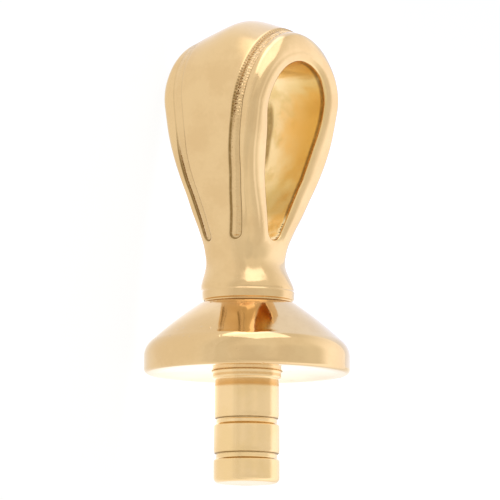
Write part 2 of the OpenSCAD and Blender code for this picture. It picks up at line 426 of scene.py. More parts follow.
@dataclass(frozen=True)
class GoldFinish:
    """A polished gold plating: its tones, its polish, the marks left in it, and its painted shade, light and
    reflection.

    Each noise is given as its scale in waves per millimetre and its detail.
    """

    name: str
    tone: tuple[float, float, float] = (0.785, 0.555, 0.288)
    warm_tone: tuple[float, float, float] = (0.74, 0.51, 0.257)
    # Painted shade: the dark tone of the lines at grooves, ledges and the eye's edge.
    painted_shade_tone: tuple[float, float, float] = (0.30, 0.18, 0.06)
    # Painted light and reflection: the eye's wall takes a lighter gold that turns amber, gold reflected in
    # gold.
    wall_lit_tone: tuple[float, float, float] = (0.96, 0.71, 0.36)
    wall_amber_reflection: tuple[float, float, float] = (0.74, 0.50, 0.17)
    smooth: float = 0.10
    dull: float = 0.20
    recess_rough: float = 0.42
    wall_rough: float = 0.25
    orange_peel: float = 0.35
    scratches: float = 0.25
    pits: float = 3.0
    specks: float = 0.4
    teeth: float = 8.0
    filing: float = 5.0
    pitch: float = 0.07
    wander: float = 5.0
    bump: float = 0.0012
    cloud: tuple[float, float] = (1.3, 3.0)
    fine: tuple[float, float] = (14.0, 4.0)
    streaks: tuple[float, float] = (22.0, 3.0)
    patches: tuple[float, float] = (2.6, 3.0)
    pit_scale: float = 2.6
    speck_scale: float = 9.0
    fine_share: float = 0.2
    line_outer: Band = Band(0.0, 0.1)
    line_inner: Band = Band(0.2, 0.42, 1.0, 0.14)
    warm_clouds: Band = Band(0.40, 0.60)
    warm_patches: Band = Band(0.42, 0.66, 0.0, 0.6)
    recess_grain: Band = Band(0.2, 0.6, 0.7, 1.0)
    dull_clouds: Band = Band(0.3, 0.7, 0.2, 1.0)
    dull_streaks: Band = Band(0.3, 0.7, 0.3, 1.0)
    pit_form: Band = Band(0.03, 0.10, 1.0, 0.0)
    pit_choice: Band = Band(0.80, 0.86)
    speck_form: Band = Band(0.05, 0.3, 1.0, 0.0)
    speck_choice: Band = Band(0.55, 0.7)
    speck_clouds: Band = Band(0.5, 0.62)
    grain: tuple[float, float, float] = (1.0, 1.0, 8.0)
    seed: float = 0.0

    def material(self, placement: Placement) -> bpy.types.Material:
        """Build the finish's material.

        Args:
            placement: Where the part's upright frame lies, for the run of the polishing marks.

        Returns:
            The material.
        """
        made = bpy.data.materials.new(self.name)
        made.use_nodes = True
        made.node_tree.nodes.clear()
        graph = Graph(made.node_tree)
        own = graph.node("ShaderNodeTexCoord").outputs["Object"]
        turn = placement.matrix().to_3x3().inverted().to_euler()
        upright = graph.node("ShaderNodeMapping", {"Vector": own, "Rotation": tuple(turn),
                                                   "Scale": (1 / MM,) * 3}).outputs[0]
        cloud, fine, filed = (
            graph.noise(upright, self.seed, *kind) for kind in (self.cloud, self.fine, self.patches))
        drawn = graph.node("ShaderNodeVectorMath", {0: upright, 1: self.grain},
                           operation="MULTIPLY").outputs[0]
        grain = graph.noise(drawn, self.seed, *self.streaks)
        deep, groove, wall, chatter, path = (
            graph.node("ShaderNodeAttribute", attribute_name=mark.value).outputs["Fac"]
            for mark in (Mark.RECESS, Mark.GROOVE, Mark.WALL, Mark.CHATTER, Mark.PATH))
        # Painted shade: dark lines where the groove mark lies near its lip value, as strong as the recess
        # mark says.
        recess = graph.times(deep, graph.ramp(groove, self.line_outer), graph.ramp(groove, self.line_inner))

        mottle = graph.plus(graph.times(cloud, 1 - self.fine_share), graph.times(fine, self.fine_share))
        tone = graph.mix(graph.ramp(mottle, self.warm_clouds), self.tone, self.warm_tone)
        # Painted light and reflection on the eye's wall: amber where the recess mark or the filing patches
        # are high.
        amber = graph.math("MAXIMUM", graph.ramp(filed, self.warm_patches), deep)
        tone = graph.mix(wall, tone, graph.mix(amber, self.wall_lit_tone, self.wall_amber_reflection))
        tone = graph.mix(graph.times(recess, graph.ramp(fine, self.recess_grain)), tone, self.painted_shade_tone)

        dull = graph.times(graph.ramp(cloud, self.dull_clouds), graph.ramp(grain, self.dull_streaks))
        rough = graph.ramp(dull, Band(0.0, 1.0, self.smooth, self.dull))
        for share, value in ((recess, self.recess_rough), (wall, self.wall_rough)):
            rough = graph.node("ShaderNodeMix", {0: share, 2: rough, 3: value}).outputs[0]

        pit, speck = (
            graph.node("ShaderNodeTexVoronoi", {"Vector": upright, "Scale": scale, "Randomness": 1.0})
            for scale in (self.pit_scale, self.speck_scale))
        hole = graph.times(graph.ramp(pit.outputs["Distance"], self.pit_form),
                           graph.ramp(pit.outputs["Color"], self.pit_choice))
        dent = graph.times(graph.ramp(speck.outputs["Distance"], self.speck_form),
                           graph.ramp(speck.outputs["Color"], self.speck_choice),
                           graph.ramp(cloud, self.speck_clouds), self.specks)
        turns = graph.plus(graph.times(path, 2 * math.pi / self.pitch), graph.times(fine, self.wander))
        height = graph.plus(
            graph.times(fine, self.orange_peel), graph.times(grain, self.scratches),
            graph.times(graph.plus(hole, dent), -self.pits),
            graph.times(graph.math("SINE", turns), chatter, self.teeth),
            graph.times(filed, wall, self.filing))
        bump = graph.node("ShaderNodeBump", {"Height": height, "Distance": self.bump * MM, "Strength": 1.0})
        metal = graph.node("ShaderNodeBsdfPrincipled", {
            "Base Color": tone, "Roughness": rough, "Metallic": 1.0, "Normal": bump.outputs[0]})
        out = graph.node("ShaderNodeOutputMaterial")
        made.node_tree.links.new(metal.outputs[0], out.inputs["Surface"])
        return made


class Section(NamedTuple):
    """One section of the loop between its foot and its spring line, as shares.

    The shares are of the rise for the height, and from neck to foot, from neck to loop, of the
    edge's drop, of the half width, from round to square, and of the crown's overhang.
    """

    at: float
    flare: float
    spread: float
    swell: float
    drop: float
    groove: float
    square: float
    over: float


SECTIONS = (
    Section(0.000, 0.75, 0.00, 0.00, 0.70, 0.46, 0.00, 0.13),
    Section(0.008, 0.90, 0.00, 0.00, 0.70, 0.46, 0.00, 0.13),
    Section(0.030, 0.96, 0.00, 0.00, 0.70, 0.46, 0.00, 0.13),
    Section(0.046, 0.97, 0.00, 0.00, 0.70, 0.46, 0.00, 0.13),
    Section(0.053, 0.88, 0.00, 0.00, 0.70, 0.46, 0.00, 0.06),
    Section(0.060, 0.97, 0.00, 0.00, 0.70, 0.46, 0.00, 0.00),
    Section(0.078, 0.96, 0.00, 0.00, 0.70, 0.46, 0.00, -0.13),
    Section(0.104, 0.77, 0.00, 0.00, 0.70, 0.46, 0.00, -0.25),
    Section(0.132, 0.55, 0.00, 0.00, 0.70, 0.46, 0.05, -0.32),
    Section(0.164, 0.30, 0.00, 0.00, 0.70, 0.46, 0.20, -0.38),
    Section(0.208, 0.00, 0.00, 0.00, 0.70, 0.46, 0.45, -0.45),
    Section(0.251, 0.10, 0.03, 0.05, 1.00, 0.46, 0.65, -0.45),
    Section(0.299, 0.40, 0.10, 0.14, 1.50, 0.47, 0.80, -0.38),
    Section(0.359, 1.00, 0.16, 0.25, 1.50, 0.51, 0.90, -0.25),
    Section(0.447, 1.00, 0.25, 0.40, 1.25, 0.55, 1.00, -0.06),
    Section(0.545, 1.00, 0.32, 0.60, 1.05, 0.60, 1.00, 0.13),
    Section(0.631, 1.00, 0.41, 0.76, 0.90, 0.64, 1.00, 0.25),
    Section(0.744, 1.00, 0.54, 0.93, 0.85, 0.64, 1.00, 0.38),
    Section(0.860, 1.00, 0.68, 0.98, 0.68, 0.62, 1.00, 0.51),
    Section(1.000, 1.00, 0.80, 1.00, 0.57, 0.63, 1.00, 0.64),
)


class Rows(NamedTuple):
    """Rows of the strap: each value has one entry for each row."""

    half: np.ndarray
    over: np.ndarray
    along: np.ndarray
    depth: np.ndarray
    drop: np.ndarray
    crease: np.ndarray
    round_r: np.ndarray
    square: np.ndarray
    base: np.ndarray
    up: np.ndarray
    groove_x: np.ndarray
    groove: np.ndarray
    past_end: np.ndarray
    grown: np.ndarray


@dataclass
class BailLoop:
    """The wide tulip-shaped loop with its eye, its two engraved grooves, its neck and foot."""

    foot: float = 1.41
    height: float = 5.4945
    width: float = 2.54
    depth: float = 2.88
    arch: float = 1.8
    edge_arch: float = 1.19
    fullness: float = 1.95
    edge_drop: float = 0.2
    crown_over: float = 0.11
    ridge_round: float = 0.2
    arch_spread: float = 2.2
    neck_width: float = 1.22
    neck_depth: float = 1.44
    neck_round: float = 1.52
    foot_round: float = 1.83
    eye_circles: tuple[tuple[float, float], ...] = ((3.68, 0.885), (2.6, 0.645), (1.38, 0.2))
    groove_width: float = 0.25
    groove_depth: float = 0.04
    groove_edge: float = 0.03
    groove_margin: float = 0.012
    groove_end: float = 1.12
    groove_crown: float = 0.71
    floor_hump: Band = Band(0.0, 0.8, 0.45, 0.0)
    shaft_curve: float = 0.8
    arch_curve: float = 0.65
    crease_power: float = 14.0
    bead: float = 0.018
    bead_skew: float = 0.8
    bead_growth: float = 0.5
    crease_round: float = 0.12
    eye_round: float = 0.09
    rim_crown: float = 0.012
    chatter: Band = Band(3.2, 3.7, 0.25, 1.0)
    # Painted shade: dark lines along the grooves' lips, fading over the arch.
    groove_shade_fade: Band = Band(0.0, 0.625, 1.0, 0.4)
    left_wear: Band = Band(2.5, 3.5, 0.0, 0.8)
    # Painted reflection: amber of gold seen in gold on the back of the eye, strongest low and to the right,
    # pale at the very bottom.
    amber_foot: Band = Band(1.8, 2.8, 1.1, 0.0)
    amber_across: Band = Band(0.45, 0.95)
    pale_foot: Band = Band(1.45, 1.8)
    # A narrow dark strip up the back of the eye's wall, drawn in the same dark tone as the painted shade.
    dark_strip_foot: Band = Band(2.6, 3.0)
    dark_strip_head: Band = Band(3.8, 4.1, 1.0, 0.0)
    dark_strip_at: float = 0.4
    dark_strip_half: float = 0.03
    dark_strip_strength: float = 0.8
    # Painted shade: the back of the eye's wall a little darker low down.
    low_shade_foot: Band = Band(1.5, 1.8)
    low_shade_head: Band = Band(2.0, 2.6, 1.0, 0.0)
    low_shade_strength: float = 0.2
    burr: Band = Band(1.5, 1.75, 3.0, 1.0)
    lip_height: float = 0.035
    lip_inset: float = 0.015
    lip_lean: float = 0.2
    tang_hole: float = 0.44
    tang_depth: float = 0.64
    foot_share: float = 0.09
    foot_blend: float = 0.05
    join: float = 0.26
    row_step: float = 0.024
    panel_columns: int = 12
    groove_columns: int = 18
    bead_columns: int = 11
    flank_columns: int = 12
    wall_columns: int = 24
    neck_rows: int = 34
    level_rows: int = 14
    crowned_rows: int = 24
    corner_steps: int = 6
    curve_steps: int = 200
    even_steps: int = 3701
    softening: float = 0.045
    softenings: int = 3
    shaft_probes: int = 600
    arch_probes: int = 900
    halvings: int = 40
    finish: GoldFinish = field(default_factory=lambda: GoldFinish("loop_polished_gold"))

    def __post_init__(self) -> None:
        """Work out the heights that follow from the sizes and smooth the sections' curves."""
        self.crown = self.foot + self.height
        self.spring = self.crown - self.arch
        self.rise = self.spring - self.foot
        self.fine_z, self.fine = self.curves()

    def curves(self) -> tuple[np.ndarray, dict[str, np.ndarray]]:
        """Draw a smooth curve through each column of the sections.

        Returns:
            Even heights up the shaft, and the value of each column there.
        """
        rows = np.array(SECTIONS)
        last = len(rows) - 1
        s = np.linspace(0, last, self.curve_steps * last + 1)
        i = np.minimum(s.astype(int), last - 1)
        t = (s - i)[:, None]
        a, b, c, d = (rows[np.clip(i + k, 0, last)] for k in (-1, 0, 1, 2))
        smooth = b + 0.5 * t * ((c - a) + t * ((2 * a - 5 * b + 4 * c - d) + t * (3 * (b - c) + d - a)))
        z = np.linspace(0, 1, self.even_steps)
        even = np.stack([np.interp(z, smooth[:, 0], smooth[:, k]) for k in range(rows.shape[1])], 1)
        softened = even.copy()
        step = z[1] * self.rise
        for _ in range(self.softenings):
            n = int(self.softening / step)
            window = np.ones(2 * n + 1) / (2 * n + 1)
            padded = np.concatenate([2 * softened[:1] - softened[n:0:-1], softened,
                                     2 * softened[-1:] - softened[-2:-n - 2:-1]])
            softened = np.stack([np.convolve(padded[:, k], window, "valid") for k in range(rows.shape[1])], 1)
        share = ease((z - self.foot_share) / self.foot_blend)[:, None]
        even = blend(even, softened, share)
        return self.foot + self.rise * z, {name: even[:, k] for k, name in enumerate(Section._fields)}

    def column(self, name: str, z: np.ndarray) -> np.ndarray:
        """Return a section column's value at some heights."""
        return np.interp(z, self.fine_z, self.fine[name])

    def shaft(self, z: np.ndarray) -> Rows:
        """Work out the strap's rows on the shaft.

        Args:
            z: The rows' heights.

        Returns:
            The rows.
        """
        spread, swell = self.column("spread", z), self.column("swell", z)
        half = blend(self.neck_width, self.width, spread) / 2
        drop = self.edge_drop * self.column("drop", z)
        one = np.ones_like(z)
        end = self.foot + self.groove_end + self.groove_width / 2
        return Rows(
            half=half, over=self.crown_over * self.column("over", z), along=one,
            depth=blend(self.neck_depth, self.depth, swell) / 2,
            drop=self.shaft_curve * drop, crease=(1 - self.shaft_curve) * drop,
            round_r=blend(self.neck_round, self.foot_round, self.column("flare", z)) / 2,
            square=self.column("square", z), base=z, up=0 * one,
            groove_x=half * self.column("groove", z), groove=self.groove_depth * one,
            past_end=np.maximum(0, end - z), grown=ease((z - end) / self.bead_growth))

    def over_arch(self, angle: np.ndarray) -> Rows:
        """Work out the strap's rows on the arch.

        Args:
            angle: The rows' angles about the spring line, in radians.

        Returns:
            The rows.
        """
        top = SECTIONS[-1]
        along = np.abs(np.cos(angle)) ** (2 / self.fullness)
        up = np.abs(np.sin(angle)) ** (2 / self.fullness)
        along[np.isclose(angle, math.pi / 2)] = 0.0
        half = self.arch_half(up)
        one = np.ones_like(angle)
        drop = self.edge_drop * top.drop
        return Rows(
            half=half, over=self.arch_over(up), along=along, depth=self.depth / 2 * one,
            drop=self.shaft_curve * drop * one, crease=(1 - self.shaft_curve) * drop * one,
            round_r=one, square=one, base=self.spring * one, up=up,
            groove_x=half * blend(top.groove, self.groove_crown, up), groove=self.groove_depth * one,
            past_end=0 * one, grown=one)

    def arch_half(self, up: np.ndarray) -> np.ndarray:
        """Return the arch's half width where it has risen by a share."""
        spring_half = blend(self.neck_width, self.width, SECTIONS[-1].spread) / 2
        return blend(spring_half, self.width / 2, 1 - (1 - up) ** self.arch_spread)

    def arch_over(self, up: np.ndarray) -> np.ndarray:
        """Return how far the arch stands over where it has risen by a share."""
        return self.crown_over * blend(SECTIONS[-1].over, 1.0, up)

    def front_distances(self, rows: Rows) -> np.ndarray:
        """Place the columns of half the strap.

        Args:
            rows: The strap's rows.

        Returns:
            Distances from the strap's middle, as rows by columns.
        """
        margin = self.groove_width / 2 + self.groove_margin
        inner, outer = rows.groove_x - margin, rows.groove_x + margin
        edge = rows.half - self.crease_round
        spans = ((0 * inner, inner, self.panel_columns), (inner, outer, self.groove_columns),
                 (outer, edge, self.bead_columns))
        parts = [blend(a[:, None], b[:, None], np.linspace(0, 1, n + 1)[None, :-1]) for a, b, n in spans]
        return np.concatenate([*parts, edge[:, None]], 1)

    def strap_points(self, rows: Rows, distance: np.ndarray) -> tuple[np.ndarray, dict[Mark, np.ndarray]]:
        """Place points of the strap's outer face.

        Args:
            rows: The strap's rows.
            distance: Distances from the strap's middle, as rows by columns, left ones negative.

        Returns:
            The points on the front, and their marks.
        """
        r = Rows(*(value[:, None] for value in rows))
        u = distance / r.half
        off = np.abs(np.abs(distance) - r.groove_x)
        away = np.hypot(off, r.past_end)
        inside = ease((self.groove_width / 2 - away) / self.groove_edge)
        hump = self.floor_hump.at(away / (self.groove_width / 2))
        height = r.base + r.up * self.arch - self.foot
        kept = 1 - self.left_wear.at(height) * (distance < 0)
        cut = r.groove * inside * (1 - hump) * kept
        outer = r.groove_x + self.groove_width / 2
        q = np.clip((np.abs(distance) - outer) / (r.half - outer), 0, 1)
        lift = self.bead * r.grown * np.sin(math.pi * q ** self.bead_skew) ** 2
        flat = np.abs(u) ** 2
        sharp = np.abs(u) ** self.crease_power
        y = (r.depth - r.drop * flat - r.crease * sharp - cut + lift) * r.along
        tip = self.ridge_round
        ridge = (np.hypot(u, tip) - tip) / (math.hypot(1, tip) - tip)
        fall = (self.arch - self.edge_arch) * blend(sharp, ridge, self.arch_curve)
        z = r.base + r.up * (self.arch - fall - cut + lift)
        a = math.pi / 4 * u
        x = blend(r.round_r * np.sin(a), distance, r.square)
        y = blend(r.round_r * np.cos(a), y, r.square)
        # The recess mark puts painted shade in dark lines just inside the grooves' lips.
        marks = {Mark.GROOVE: np.clip(1 - away / (self.groove_width / 2), -1, 1),
                 Mark.RECESS: kept * self.groove_shade_fade.at(r.up),
                 Mark.CHATTER: kept * self.chatter.at(height) * inside}
        return np.stack([x + r.over, -y, z + 0 * u], -1), marks

    def flank_half(self, y: np.ndarray, z: np.ndarray) -> np.ndarray:
        """Find how far the loop's side face lies from its middle.

        Args:
            y: Places from front to back.
            z: Heights.

        Returns:
            Half the loop's width there.
        """
        rows = self.shaft(np.minimum(z, self.spring))
        up = np.clip((z - self.spring) / self.edge_arch, 0, 1)
        edge = rows.depth - rows.drop - rows.crease
        low, high = np.zeros_like(y), np.ones_like(y)
        want = np.abs(y)
        for _ in range(self.halvings):
            t = (low + high) / 2
            reach = blend(rows.round_r * np.cos(math.pi / 4 * (1 + t)), edge * (1 - t), rows.square)
            low, high = np.where(reach > want, t, low), np.where(reach > want, high, t)
        t = (low + high) / 2
        rounded = blend(rows.round_r * np.sin(math.pi / 4 * (1 + t)), rows.half, rows.square)
        return np.where(z > self.spring, self.arch_half(up), rounded)

    def middle(self, z: np.ndarray) -> np.ndarray:
        """Return how far the loop stands over at some heights."""
        up = np.clip((z - self.spring) / self.edge_arch, 0, 1)
        return np.where(z > self.spring, self.arch_over(up), self.crown_over * self.column("over", z))

    def flank_points(self, y: np.ndarray, z: np.ndarray, side: Side, inset: Any = 0.0) -> np.ndarray:
        """Place points of one side face, or inside it by an inset."""
        x = self.middle(z) + side.value * (self.flank_half(y, z) - inset)
        return np.stack([x, y, z], -1)

    def nearest_on_eye(self, y: np.ndarray, z: np.ndarray) -> tuple[np.ndarray, np.ndarray]:
        """Find the nearest point of the eye's outline.

        Args:
            y: Places from front to back, outside the outline.
            z: Their heights.

        Returns:
            The nearest points' places and heights.
        """
        circles = [(self.foot + at, radius) for at, radius in self.eye_circles]
        side = np.where(y < 0, -1.0, 1.0)
        reach = np.abs(y)
        angles = [np.arctan2(z - at, reach) for at, _ in circles]
        turns = [math.asin(-(a[1] - b[1]) / (a[0] - b[0])) for a, b in zip(circles, circles[1:])]

        def on_circle(k: int) -> tuple[np.ndarray, np.ndarray]:
            """Return the nearest points of one circle."""
            return circles[k][1] * np.cos(angles[k]), circles[k][0] + circles[k][1] * np.sin(angles[k])

        def on_line(k: int) -> tuple[np.ndarray, np.ndarray]:
            """Return the nearest points of the line between one circle and the next."""
            cos, sin = math.cos(turns[k]), math.sin(turns[k])
            gap = reach * cos + (z - circles[k][0]) * sin - circles[k][1]
            return reach - gap * cos, z - gap * sin

        choices = [angles[0] >= turns[0], angles[1] > turns[0], angles[1] >= turns[1], angles[2] > turns[1]]
        found = [on_circle(0), on_line(0), on_circle(1), on_line(1)]
        last = on_circle(2)
        return (side * np.select(choices, [f[0] for f in found], last[0]),
                np.select(choices, [f[1] for f in found], last[1]))

    def stations(self) -> Rows:
        """Space the strap's rows evenly from the join over the front to the crown.

        Returns:
            The rows, the last of them on the crown.
        """
        z = np.linspace(self.foot + self.join * self.rise, self.spring, self.shaft_probes)
        angle = np.linspace(0, math.pi / 2, self.arch_probes)
        parts = [self.shaft(z), self.over_arch(angle)]
        y = np.concatenate([p.depth * p.along for p in parts])
        h = np.concatenate([p.base + p.up * self.arch for p in parts])
        key = np.concatenate([(z - z[0]) / (z[-1] - z[0]), 1 + angle / angle[-1]])
        length = np.concatenate([[0], np.cumsum(np.hypot(np.diff(y), np.diff(h)))])
        count = int(round(length[-1] / self.row_step))
        keys = np.interp(np.linspace(0, length[-1], count + 1), length, key)
        on_shaft = keys < 1
        low = self.shaft(blend(z[0], z[-1], keys[on_shaft]))
        high = self.over_arch((keys[~on_shaft] - 1) * angle[-1])
        return Rows(*(np.concatenate(pair) for pair in zip(low, high)))

    def bend(self, start: np.ndarray, corner: np.ndarray, end: np.ndarray) -> np.ndarray:
        """Round a corner.

        Args:
            start: Points where the rounding starts, one for each row.
            corner: The corner's points.
            end: Points where it ends.

        Returns:
            The rounding, as rows by steps by three.
        """
        t = np.linspace(0, 1, self.corner_steps + 1)[None, :, None]
        a, b, c = start[:, None], corner[:, None], end[:, None]
        return (1 - t) ** 2 * a + 2 * t * (1 - t) * b + t ** 2 * c

    def corner_yz(self, rows: Rows) -> tuple[np.ndarray, np.ndarray]:
        """Return the place and height of the crease in each row of the front."""
        edge = rows.depth - rows.drop - rows.crease
        y = blend(rows.round_r * math.cos(math.pi / 4), edge * rows.along, rows.square)
        return -y, rows.base + rows.up * self.edge_arch

    def build(self) -> Shell:
        """Build the loop's skin.

        Returns:
            The closed skin.
        """
        shell = Shell()
        front = self.stations()
        distance = self.front_distances(front)
        both = np.concatenate([-distance[:, :0:-1], distance], 1)
        points, marks = self.strap_points(front, both)
        mirror = np.array([1.0, -1.0, 1.0])
        strap = np.concatenate([points, points[-2::-1] * mirror])
        marks = {mark: np.concatenate([value, value[-2::-1]]) for mark, value in marks.items()}
        middle = strap[:, strap.shape[1] // 2]
        path = np.concatenate([[0], np.cumsum(np.linalg.norm(np.diff(middle, axis=0), axis=1))])
        marks[Mark.PATH] = np.broadcast_to(path[:, None], strap.shape[:2]).copy()
        shell.patch(strap, marks)
        corner_y, corner_z = self.corner_yz(front)
        corner_y = np.concatenate([corner_y, -corner_y[-2::-1]])
        corner_z = np.concatenate([corner_z, corner_z[-2::-1]])
        self.build_neck(shell)
        for side in Side:
            self.build_flank(shell, side, strap[:, -1 if side is Side.RIGHT else 0], corner_y, corner_z)
        self.build_wall(shell, corner_y, corner_z)
        return shell

    def rim_lines(self, corner_y: np.ndarray, corner_z: np.ndarray) -> tuple[np.ndarray, ...]:
        """Draw the lines from the crease to the eye's edge, and from the join's row below it.

        Args:
            corner_y: The crease's places, from the front over the crown to the back.
            corner_z: Its heights.

        Returns:
            The places and heights of the lines' outer ends, then those on the eye's edge, all
            the way round. The first line starts at the front's join.
        """
        eye_y, eye_z = self.nearest_on_eye(corner_y, corner_z)
        way = np.stack([eye_y - corner_y, eye_z - corner_z], 1)
        way /= np.linalg.norm(way, axis=1)[:, None]
        level = np.stack([-np.sign(corner_y), 0 * corner_y], 1)
        step = np.arange(len(corner_y))
        near_join = 1 - ease(np.minimum(step, step[::-1]) / self.level_rows)[:, None]
        way = blend(way, level, near_join)
        way /= np.linalg.norm(way, axis=1)[:, None]
        out_y = corner_y + self.crease_round * way[:, 0]
        out_z = corner_z + self.crease_round * way[:, 1]
        row = np.linspace(out_y[-1], out_y[0], self.flank_columns * 2 + 1)[1:]
        out_y = np.concatenate([out_y, row])
        out_z = np.concatenate([out_z, 0 * row + corner_z[0]])
        eye_y, eye_z = self.nearest_on_eye(out_y, out_z)
        return out_y, out_z, eye_y, eye_z

    def build_flank(self, shell: Shell, side: Side, strap_edge: np.ndarray, corner_y: np.ndarray,
                    corner_z: np.ndarray) -> None:
        """Add one side face with its rounded crease and the rounded edge of the eye.

        Args:
            shell: The skin.
            side: Which side.
            strap_edge: The strap's last points on that side.
            corner_y: The crease's places.
            corner_z: Its heights.
        """
        out_y, out_z, eye_y, eye_z = self.rim_lines(corner_y, corner_z)
        count = len(corner_y)
        step = np.arange(count)
        crowned = np.zeros(len(out_y))
        crowned[:count] = ease(np.minimum(step, step[::-1]) / self.crowned_rows)
        corner = self.flank_points(corner_y, corner_z, side)
        landing = self.flank_points(out_y[:count], out_z[:count], side, self.rim_crown * crowned[:count])
        shell.patch(self.bend(strap_edge, corner, landing))
        away = np.hypot(out_y - eye_y, out_z - eye_z)
        share = 1 - self.eye_round / away
        t = np.linspace(0, 1, self.flank_columns + 1)[None, :] * share[:, None]
        y = blend(out_y[:, None], eye_y[:, None], t)
        z = blend(out_z[:, None], eye_z[:, None], t)
        across = np.linspace(0, 1, self.flank_columns + 1)[None, :]
        inset = self.rim_crown * np.where(across < 0.5, crowned[:, None], 1.0) * (2 * across - 1) ** 2
        face = self.flank_points(y, z, side, inset)
        shell.patch(face)
        edge = self.flank_points(eye_y, eye_z, side, self.rim_crown)
        inner = self.flank_points(eye_y, eye_z, side, self.rim_crown + self.eye_round)
        turn = self.bend(face[:, -1], edge, inner)
        share = np.broadcast_to(np.linspace(0, 1, turn.shape[1])[None, :], turn.shape[:2])
        marks = {Mark.WALL: ease(share)}
        # On the right, towards the back: painted amber reflection over the eye's rounded edge, and a dark
        # line of painted shadow where it meets the wall.
        if side is Side.RIGHT:
            marks[Mark.RECESS] = share * (eye_y > 0)[:, None]
            marks[Mark.GROOVE] = np.where(share == 1, LINE, 0.0)
        shell.patch(turn, marks)

    def build_wall(self, shell: Shell, corner_y: np.ndarray, corner_z: np.ndarray) -> None:
        """Add the eye's wall from side to side, with painted amber reflection, painted shade low on the back,
        a dark line of painted shadow at its right edge, a narrow dark strip, and its burr.

        Args:
            shell: The skin.
            corner_y: The crease's places.
            corner_z: Its heights.
        """
        _, _, eye_y, eye_z = self.rim_lines(corner_y, corner_z)
        left, right = (
            self.flank_points(eye_y, eye_z, side, self.rim_crown + self.eye_round) for side in Side)
        across = np.linspace(0, 1, self.wall_columns + 1)[None, :]
        wall = blend(left[:, None], right[:, None], across[:, :, None])
        rise = (eye_z - self.foot)[:, None]
        back = (eye_y > 0)[:, None]
        # Painted reflection: amber on the back of the wall, strongest low and to the right, pale at the
        # bottom.
        deep = np.clip(self.amber_foot.at(rise) + self.amber_across.at(across), 0, 1)
        deep = deep * self.pale_foot.at(rise) * back
        # A narrow dark strip up the back of the wall, in the same dark tone as the painted shade.
        dark_strip = self.dark_strip_strength * self.dark_strip_foot.at(rise) * self.dark_strip_head.at(rise) * back
        dark_strip = dark_strip * (np.abs(across - self.dark_strip_at) < self.dark_strip_half)
        # Painted shade: a little darker low on the back of the wall.
        low_shade = self.low_shade_strength * self.low_shade_foot.at(rise) * self.low_shade_head.at(rise) * back
        rough = self.burr.at(rise) + 0 * across
        # The wall's right edge carries a dark line of painted shadow.
        shell.patch(wall, {
            Mark.WALL: rough, Mark.RECESS: np.maximum(deep, dark_strip),
            Mark.GROOVE: LINE * np.maximum(np.where(across == 1, 1.0, low_shade), dark_strip > 0)})

    def build_neck(self, shell: Shell) -> None:
        """Add the neck and the foot below the join, and the blind hole for the tang.

        Args:
            shell: The skin.
        """
        bottom, middle, top = (
            self.foot + share * self.rise for share in (0.0, self.foot_share, self.join))
        z = np.concatenate([np.linspace(bottom, middle, self.neck_rows)[:-1],
                            np.linspace(middle, top, self.neck_rows)])
        rows = self.shaft(z)
        distance = self.front_distances(rows)
        both = np.concatenate([-distance[:, :0:-1], distance], 1)
        front, marks = self.strap_points(rows, both)
        mirror = np.array([1.0, -1.0, 1.0])
        shell.patch(front, marks)
        shell.patch(front * mirror, marks)
        corner_y, _ = self.corner_yz(rows)
        ring = [front]
        for side in (Side.RIGHT, Side.LEFT):
            column = -1 if side is Side.RIGHT else 0
            corner = self.flank_points(corner_y, z, side)
            landing_y = corner_y + self.crease_round
            landing = self.flank_points(landing_y, z, side)
            turn = self.bend(front[:, column], corner, landing)
            t = np.linspace(0, 1, 2 * self.flank_columns + 1)
            y = blend(landing_y[:, None], -landing_y[:, None], t[None, :])
            face = self.flank_points(y, np.broadcast_to(z[:, None], y.shape), side)
            shell.patch(turn)
            shell.patch(turn * mirror)
            shell.patch(face)
            whole = np.concatenate([turn[:, 1:], face[:, 1:], (turn * mirror)[:, -2::-1]], 1)
            ring.append(whole if side is Side.RIGHT else whole[:, ::-1])
            if side is Side.RIGHT:
                ring.append((front * mirror)[:, -2::-1])
        self.build_foot(shell, np.concatenate(ring, 1)[0])

    def build_foot(self, shell: Shell, rim: np.ndarray) -> None:
        """Close the foot's underside round the blind hole.

        Args:
            shell: The skin.
            rim: The foot's lowest ring of points, all the way round.
        """
        centre = np.array([0.0, 0.0, self.foot])
        way = rim - centre
        way[:, 2] = 0
        way /= np.linalg.norm(way, axis=1)[:, None]
        down = np.array([0.0, 0.0, self.lip_height])
        lip = rim - self.lip_inset * way - down
        turned = self.bend(rim, rim - self.lip_lean * self.lip_inset * way - down, lip)
        mouth = centre + self.tang_hole * way - down
        roof = mouth + np.array([0.0, 0.0, self.tang_depth])
        tip = np.broadcast_to(centre + np.array([0.0, 0.0, self.tang_depth]), rim.shape)
        shell.patch(turned)
        shell.patch(np.stack([lip, mouth]))
        shell.patch(np.stack([mouth, roof]))
        shell.patch(np.stack([roof, tip]))


